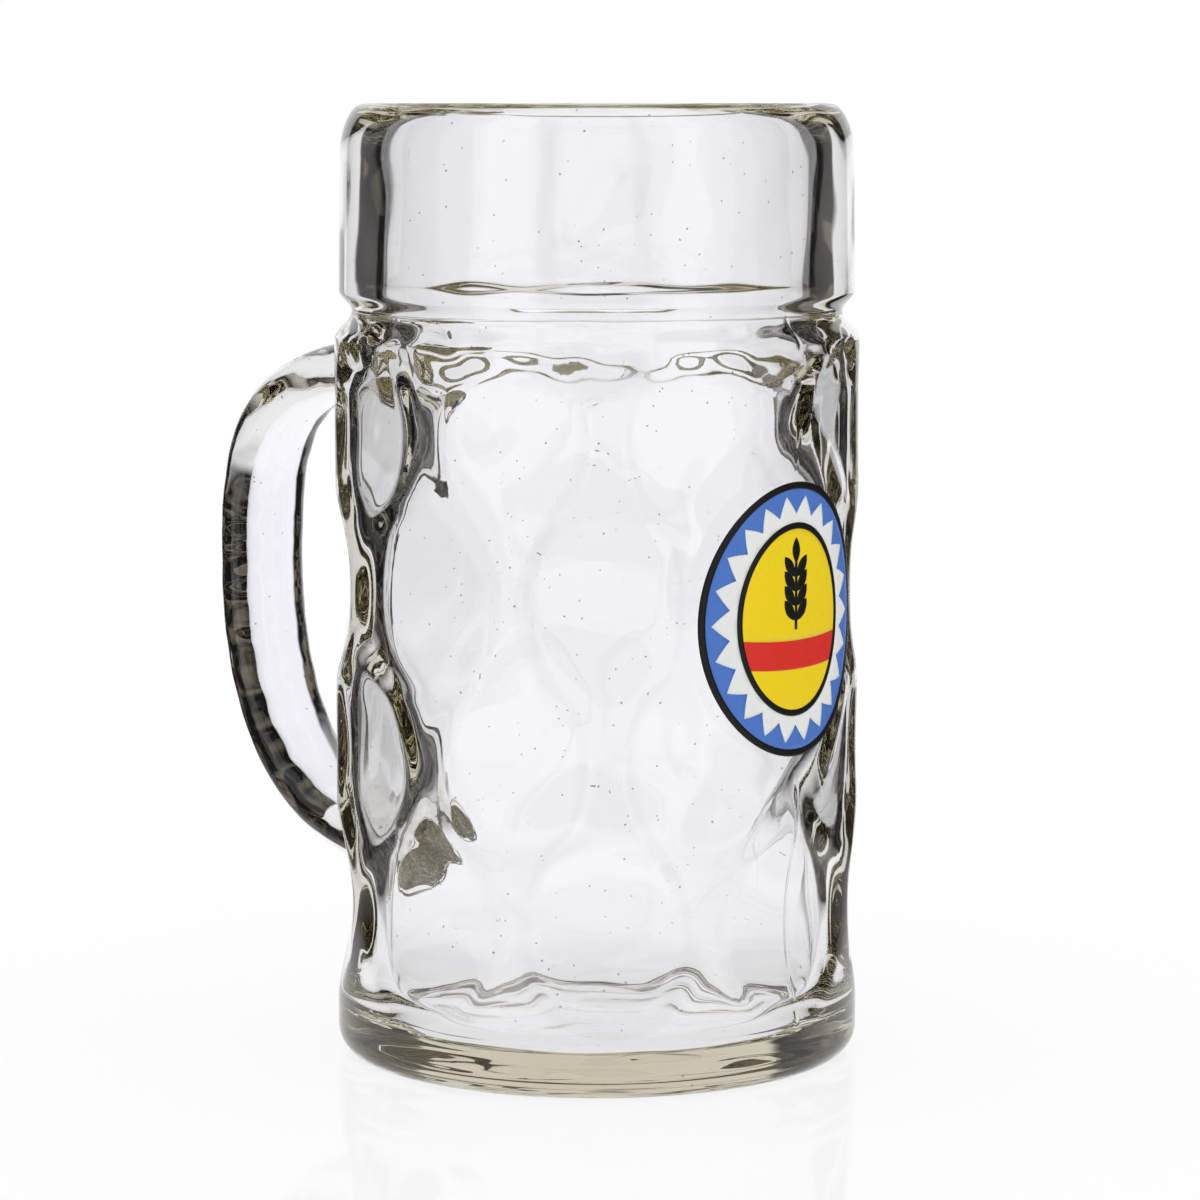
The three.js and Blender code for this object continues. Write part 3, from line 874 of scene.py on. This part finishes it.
@dataclass
class Badge:
    """The enamel badge: thin films that follow the panel, each a grid between two outlines."""

    panel: float = 54.2
    middle_z: float = 96.0
    half_width: float = 24.0
    half_height: float = 28.0
    lift: float = 0.02
    film: float = 0.06
    film_step: float = 0.012
    overlap: float = 0.05
    outline_points: int = 176
    patch_columns: int = 61
    patch_rows: int = 14
    ring_rows: int = 4
    rim_tries: int = 4001
    rim_share: float = 0.99999
    outline: float = 1.4
    border: float = 6.9
    teeth: int = 22
    tooth_root: float = 1.3
    tooth_tip: float = 5.1
    inner_line: float = 1.2
    band_height: float = 5.9
    band_drop: float = 7.2
    band_sag: float = 2.2
    ear_base_rise: float = 2.2
    ear_top_margin: float = 1.8
    grain_pairs: int = 4
    grain_length_steps: float = 0.88
    grain_width_steps: float = 0.4
    grain_tilt: float = 0.62
    grain_fullness: float = 0.8
    grain_end: float = 0.02
    grain_grid: tuple[int, int] = (13, 5)
    bare_stalk_steps: float = 1.35
    stalk_width: float = 0.84
    stalk_rows: int = 8

    def oval(self, inset: float | np.ndarray, angle: np.ndarray) -> np.ndarray:
        """The badge's oval drawn in from its edge, at the given angles, as sideways and up places."""
        wide, tall = self.half_width - inset, self.half_height - inset
        return np.stack([wide * np.cos(angle), tall * np.sin(angle)], axis=-1)

    def inside(self) -> float:
        """How far in from the badge's edge its field starts."""
        return self.outline + self.border + self.inner_line

    def wrap(
        self, name: str, flat: np.ndarray, finish: bpy.types.Material, closed: bool, step: int = 0,
    ) -> bpy.types.Object:
        """Wraps a flat grid on the panel as a closed film.

        Sideways places are as seen straight on: the depth is the root of the squared radius less the squared
        sideways place. Two layers lie at two radii, and walls join their edges.

        Args:
            name: Object name.
            flat: Grid of places (rows, columns, 2), sideways and up, whose columns cross rows face outwards.
            finish: The ink.
            closed: Whether the columns close on themselves.
            step: How many films it lies over.

        Returns:
            The object.
        """
        size = flat.shape[0] * flat.shape[1]
        low = np.arange(size).reshape(flat.shape[:2])
        high = low + size
        base = self.panel + self.lift
        layers = []
        for radius in (base, base + self.film + step * self.film_step):
            depth = np.sqrt(radius * radius - flat[..., 0] ** 2)
            layer = np.stack([-depth, -flat[..., 0], self.middle_z + flat[..., 1]], axis=-1)
            layers.append(layer.reshape(-1, 3))
        walls = [np.stack([low[0], high[0]]), np.stack([high[-1], low[-1]])]
        faces = [quads(high, closed), quads(low, closed)[:, ::-1], *(quads(wall, closed) for wall in walls)]
        if not closed:
            sides = [np.stack([high[:, 0], low[:, 0]]), np.stack([low[:, -1], high[:, -1]])]
            faces += [quads(side, False) for side in sides]
        return mesh_object(name, np.concatenate(layers), np.concatenate(faces), finish)

    def blend(self, first: np.ndarray, last: np.ndarray, steps: int) -> np.ndarray:
        """A grid (steps + 1, n, 2) from one outline to another, by a linear blend."""
        share = np.linspace(0.0, 1.0, steps + 1)[:, None, None]
        return first[None] * (1.0 - share) + last[None] * share

    def sag(self, x: np.ndarray) -> np.ndarray:
        """How far the band rises towards its ends: a parabola."""
        return self.band_sag * (x / self.half_width) ** 2

    def patch(self, low_edge: float | None, high_edge: float | None) -> np.ndarray:
        """Columns of the oval field between two sagging edges, or up to its rim where an edge is missing.

        Args:
            low_edge: Height of the lower edge at the middle.
            high_edge: Height of the upper edge at the middle.

        Returns:
            Grid of places.
        """
        wide, tall = self.half_width - self.inside(), self.half_height - self.inside()
        limit = self.rim_share * wide
        if high_edge is not None:
            tries = np.linspace(0.0, limit, self.rim_tries)
            gap = high_edge + self.sag(tries) + tall * np.sqrt(1.0 - (tries / wide) ** 2)
            limit = float(tries[np.argmin(np.abs(gap))])
        x = limit * np.sin(np.linspace(-0.5, 0.5, self.patch_columns) * math.pi)
        rim = tall * np.sqrt(1.0 - (x / wide) ** 2)
        low = -rim if low_edge is None else np.maximum(-rim, low_edge + self.sag(x))
        high = rim if high_edge is None else np.maximum(low, high_edge + self.sag(x))
        return self.blend(np.stack([x, low], axis=-1), np.stack([x, high], axis=-1), self.patch_rows)

    def grain(self, x: float, y: float, tilt: float, step: float) -> np.ndarray:
        """A pointed grain: half a cosine wide along a tilted line.

        Args:
            x: Sideways place of its middle.
            y: Height of its middle.
            tilt: Lean to the right, in radians.
            step: Spacing of the ear, which sets the grain's size.

        Returns:
            Grid of places, in rows along the grain.
        """
        rows, columns = (np.linspace(-1.0, 1.0, count) for count in self.grain_grid)
        t, s = rows[:, None], columns[None, :]
        bulge = np.abs(np.cos(0.5 * math.pi * t)) ** self.grain_fullness + self.grain_end
        across = s * self.grain_width_steps * step * bulge
        along = t * self.grain_length_steps * step + 0.0 * s
        c, d = math.cos(tilt), math.sin(tilt)
        return np.stack([x + across * c + along * d, y - across * d + along * c], axis=-1)

    def ear(self, base: float) -> list[np.ndarray]:
        """An ear of barley: a stalk, paired grains and a grain on top, fitted to the field above the band.

        Args:
            base: Height of the stalk's foot.

        Returns:
            Grids of the stalk and the grains.
        """
        tip = self.half_height - self.inside() - self.ear_top_margin
        step = (tip - base) / (self.grain_pairs + 1 + 1.5 * self.grain_length_steps)
        top = base + (self.grain_pairs + 1) * step
        half = self.grain_length_steps * step
        x = half * math.sin(self.grain_tilt) + 0.5 * self.stalk_width
        places = self.stalk_width * np.array([-0.5, 0.0, 0.5])
        ends = [np.stack([places, np.full(3, height)], axis=-1) for height in (base, top)]
        parts = [self.blend(*ends, self.stalk_rows)]
        parts.append(self.grain(0.0, top + 0.5 * half, 0.0, step))
        for i in range(self.grain_pairs):
            y = base + (i + self.bare_stalk_steps) * step
            parts += [self.grain(side * x, y, side * self.grain_tilt, step) for side in (1, -1)]
        return parts

    def build(self, inks: dict[Ink, bpy.types.Material]) -> dict[str, list[bpy.types.Object]]:
        """Makes the badge's films.

        Args:
            inks: Material of each ink.

        Returns:
            The objects that stand for each CAD node.
        """
        angle = np.linspace(0.0, TURN, self.outline_points, endpoint=False)
        wave = np.abs(np.mod(angle * self.teeth / TURN, 1.0) * 2.0 - 1.0)
        zigzag = self.outline + self.tooth_tip + (self.tooth_root - self.tooth_tip) * wave
        end = self.outline + self.border
        edge = self.overlap
        rings = {
            "outline": (0.0, self.outline + edge, Ink.BLACK, 1),
            "blue_border": (self.outline, zigzag, Ink.BLUE, 0),
            "white_border": (zigzag, end, Ink.WHITE, 0),
            "inner_line": (end - edge, self.inside() + edge, Ink.BLACK, 1),
        }
        top, bottom = -self.band_drop + 0.5 * self.band_height, -self.band_drop - 0.5 * self.band_height
        fields = {
            "yellow_field": (top, None, Ink.YELLOW),
            "red_band": (bottom, top, Ink.RED),
            "yellow_base": (None, bottom, Ink.YELLOW),
        }
        made: dict[str, list[bpy.types.Object]] = {}
        for name, (outer, inner, ink, step) in rings.items():
            flat = self.blend(self.oval(outer, angle), self.oval(inner, angle), self.ring_rows)
            made["print_" + name] = [self.wrap("enamel_" + name, flat, inks[ink], True, step)]
        for name, (low, high, ink) in fields.items():
            made["print_" + name] = [self.wrap("enamel_" + name, self.patch(low, high), inks[ink], False)]
        ear = made.setdefault("print_barley_ear", [])
        for i, flat in enumerate(self.ear(top + self.ear_base_rise)):
            ear.append(self.wrap(f"enamel_ear_{i}", flat, inks[Ink.BLACK], False, 2))
        return made


@dataclass
class Studio:
    """A white sweep with dark flags beyond its edges, two soft boxes, and the photograph's camera."""

    bearing: float = 132.0
    distance: float = 910.0
    eye: float = 200.0
    pitch: float = 6.533
    lens: float = 130.2
    yaw: float = 0.040
    flag_level: float = 0.006
    box_level: float = 0.7
    edge: float = 1.2
    flag_sectors: tuple[Point, ...] = ((70.0, 148.0), (-148.0, -64.0), (25.0, 36.0), (-30.0, -19.0))
    box_sectors: tuple[Point, ...] = ((-75.0, -23.0), (23.0, 75.0))
    sweep_sector: Point = (149.0, 211.0)
    camera_sector: Point = (-23.0, 23.0)
    camera_level: float = 0.05
    glass_tint: tuple[float, float, float] = (1.015, 1.027, 1.13)
    clutter_tone: tuple[float, float, float] = (0.17, 0.148, 0.12)
    clutter_band: Point = (0.48, 0.66)
    clutter_detail: float = 2.5
    world_clutter: float = 4.0
    floor_clutter: float = 7.0
    fade_span: float = 2000.0
    sweep_start: Point = (150.0, 300.0)
    # Painted shadow under the mug: grey levels of the floor near the foot, for rays through or mirrored by
    # glass.
    painted_shadow_reach: Point = (45.0, 62.0)
    painted_shadow_levels: Point = (0.85, 0.95)
    clutter_reach: Point = (1160.0, 1400.0)
    shadow_reach: Point = (120.0, 500.0)
    shadow_keep: float = 0.14
    gloss_share: float = 0.075
    gloss_roughness: float = 0.06
    gloss_reach: Point = (250.0, 800.0)
    floor_colour: tuple[float, float, float, float] = (0.98, 0.98, 0.98, 1.0)
    floor_half: float = 6000.0
    floor_drop: float = 0.02
    floor_lines: int = 13

    def camera(self) -> None:
        """Places the camera level with the rim, aimed down at the mug's middle."""
        turn = math.radians(self.bearing)
        place = Vector((math.cos(turn) * self.distance, math.sin(turn) * self.distance, self.eye)) * MM
        data = bpy.data.cameras.new("camera")
        data.lens = self.lens
        data.sensor_width = 36.0
        data.clip_start = 0.01
        data.clip_end = 50.0
        made = bpy.data.objects.new("camera", data)
        heading = Matrix.Rotation(turn + 0.5 * math.pi - math.radians(self.yaw), 4, "Z")
        tilt = Matrix.Rotation(math.radians(90.0 - self.pitch), 4, "X")
        made.matrix_world = Matrix.Translation(place) @ heading @ tilt
        bpy.context.scene.collection.objects.link(made)
        bpy.context.scene.camera = made

    def sectors(self, sh: Shader, angle: Sock, stops: Sequence[Sequence[float]], rest: float) -> Sock:
        """Grey level of the surroundings by bearing.

        Args:
            sh: Writer of the tree.
            angle: Bearing about Z in radians, -pi to pi.
            stops: Start, end and grey of each sector, in degrees from the camera's bearing.
            rest: Grey outside the sectors.

        Returns:
            Grey level.
        """
        places = []
        for low, high, grey in stops:
            starts = ((low - self.edge, rest), (low + self.edge, grey))
            ends = ((high - self.edge, grey), (high + self.edge, rest))
            for at, value in starts + ends:
                turn = math.remainder(math.radians(self.bearing + at), TURN)
                places.append((turn / TURN + 0.5, value))
        return sh.ramp(angle / TURN + 0.5, sorted(places))

    def flags(self, sh: Shader, angle: Sock) -> Sock:
        """The surroundings as seen through glass: white behind, dark at the sides."""
        stops = [(*sector, self.flag_level) for sector in self.flag_sectors]
        return self.sectors(sh, angle, stops, 1.0)

    def boxes(self, sh: Shader, angle: Sock) -> Sock:
        """The surroundings as mirrored by glass: dark round the camera, a soft box on each side of it."""
        stops = [(*sector, self.box_level) for sector in self.box_sectors] + [(*self.sweep_sector, 1.0)]
        return self.sectors(sh, angle, stops, self.camera_level)

    def clutter(self, sh: Shader, place: Sock, scale: float) -> Sock:
        """Mask of the dim things that stand among the flags: the high part of a noise over a place."""
        made = sh.node("TexNoise", {"Vector": place, "Scale": scale, "Detail": self.clutter_detail})
        return sh.ramp(made, tuple(zip(self.clutter_band, (0.0, 1.0))))

    def behind(self, sh: Shader, level: Sock, dim: Sock) -> Sock:
        """Colour of what is seen through glass, from its grey level and its share of dim things."""
        tinted = sh.node("VectorMath", {0: level, 1: self.glass_tint}, operation="MULTIPLY")
        return sh.mix(dim, tinted, (*self.clutter_tone, 1.0))

    def fade(self, sh: Shader, away: Sock, reach: Point, levels: Point) -> Sock:
        """Blend of two levels between two distances from the mug's axis, where away is in metres."""
        places = tuple((at / self.fade_span, level) for at, level in zip(reach, levels))
        return sh.ramp(away / (self.fade_span * MM), places)

    def world(self) -> None:
        """Lights the studio: white to the camera, even on matt things, flagged when seen through glass."""
        world = bpy.data.worlds.new("studio")
        bpy.context.scene.world = world
        world.use_nodes = True
        sh = Shader(world.node_tree)
        ray = sh.node("LightPath")
        heading = sh.node("TexCoord").pick("Generated")
        place = sh.node("SeparateXYZ", {"Vector": heading})
        angle = place.pick("Y").math(Op.ARCTAN2, place.pick("X"))
        gloss = ray.pick("Is Glossy Ray")
        side = self.flags(sh, angle)
        through = side * self.sectors(sh, angle, ((*self.camera_sector, self.camera_level),), 1.0)
        dim = (1.0 - side) * self.clutter(sh, heading, self.world_clutter)
        plain = gloss * self.boxes(sh, angle) + (1.0 - gloss)
        level = sh.mix(ray.pick("Is Transmission Ray"), plain, self.behind(sh, through, dim))
        colour = sh.mix(ray.pick("Is Camera Ray"), level, WHITE)
        back = sh.node("Background", {"Color": colour, "Strength": 1.0})
        sh.node("OutputWorld", {"Surface": back})

    def floor_finish(self) -> bpy.types.Material:
        """Builds the floor's material: white far off, with a faint gloss and the mug's soft shadow near it.

        What glass shows of it, mirrored or seen through, is the same pattern as the world's, with a painted
        shadow under the mug's foot.

        Returns:
            The material.
        """
        sh, made = Shader.material("floor")
        place = sh.node("TexCoord").pick("Object")
        axes = sh.node("SeparateXYZ", {"Vector": place})
        x, y = axes.pick("X"), axes.pick("Y")
        away = (x * x + y * y).math(Op.POWER, 0.5)
        ray = sh.node("LightPath")
        bearing = y.math(Op.ARCTAN2, x)
        far = self.fade(sh, away, self.sweep_start, (0.0, 1.0))
        # Painted shadow: the floor under the foot is darker for rays that passed through glass.
        near = self.fade(sh, away, self.painted_shadow_reach, self.painted_shadow_levels)
        side = self.flags(sh, bearing)
        reach = self.fade(sh, away, self.clutter_reach, (1.0, 0.0))
        dim = far * reach * (1.0 - side) * self.clutter(sh, place, self.floor_clutter)
        through = self.behind(sh, far * side + (1.0 - far) * near, dim)
        # Mirrored in glass, the floor near the foot shows the same painted shadow.
        mirrored = far * self.boxes(sh, bearing) + (1.0 - far) * near
        backdrop = sh.mix(ray.pick("Is Transmission Ray"), mirrored, through)
        matt = sh.node("BsdfDiffuse", {"Color": self.floor_colour})
        sheen = sh.node("BsdfGlossy", {"Color": WHITE, "Roughness": self.gloss_roughness})
        white = sh.node("Emission", {"Color": WHITE, "Strength": 1.0})
        behind = sh.node("Emission", {"Color": backdrop, "Strength": 1.0})
        light = self.fade(sh, away, self.shadow_reach, (1.0 - self.shadow_keep, 1.0))
        clear = ray.pick("Is Camera Ray") * light
        lit = sh.node("MixShader", {0: clear, 1: matt, 2: white})
        gloss = self.gloss_share * self.fade(sh, away, self.gloss_reach, (1.0, 0.0))
        seen = sh.node("MixShader", {0: gloss, 1: lit, 2: sheen})
        polished = ray.pick("Is Glossy Ray")
        mix = sh.node("MixShader", {0: polished, 1: seen, 2: behind})
        sh.node("OutputMaterial", {"Surface": mix})
        return made

    def floor(self) -> None:
        """Makes a wide floor just under the mug."""
        lines = np.linspace(-self.floor_half, self.floor_half, self.floor_lines)
        grid = np.stack(np.meshgrid(lines, lines), axis=-1).reshape(-1, 2)
        points = np.concatenate([grid, np.full((len(grid), 1), -self.floor_drop)], axis=1)
        numbers = np.arange(len(grid)).reshape(self.floor_lines, self.floor_lines)
        mesh_object("floor", points, quads(numbers, False), self.floor_finish())

    def settings(self) -> None:
        """Sets the colour handling, and enough bounces for light to cross every wall of glass."""
        scene = bpy.context.scene
        scene.view_settings.view_transform = "Standard"
        scene.cycles.max_bounces = 32
        scene.cycles.transmission_bounces = 28
        scene.cycles.glossy_bounces = 16
        scene.cycles.diffuse_bounces = 3
        scene.cycles.transparent_max_bounces = 16

    def build(self) -> None:
        """Makes the whole studio."""
        self.camera()
        self.world()
        self.floor()
        self.settings()


def main() -> None:
    """Builds the mug's pieces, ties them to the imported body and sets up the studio."""
    logging.basicConfig(level=logging.INFO, format="%(message)s")
    glass = GlassMug().build(GlassFinish().make())
    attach(glass, "root")
    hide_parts("mug_body", "handle")
    LOG.info("%s: %d faces", glass.name, len(glass.data.polygons))
    for node, films in Badge().build({ink: EnamelFinish(ink).make() for ink in Ink}).items():
        for film in films:
            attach(film, "root")
            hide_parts(node)
            LOG.info("%s: %d faces, for %s", film.name, len(film.data.polygons), node)
    Studio().build()


if __name__ == "__main__":
    main()
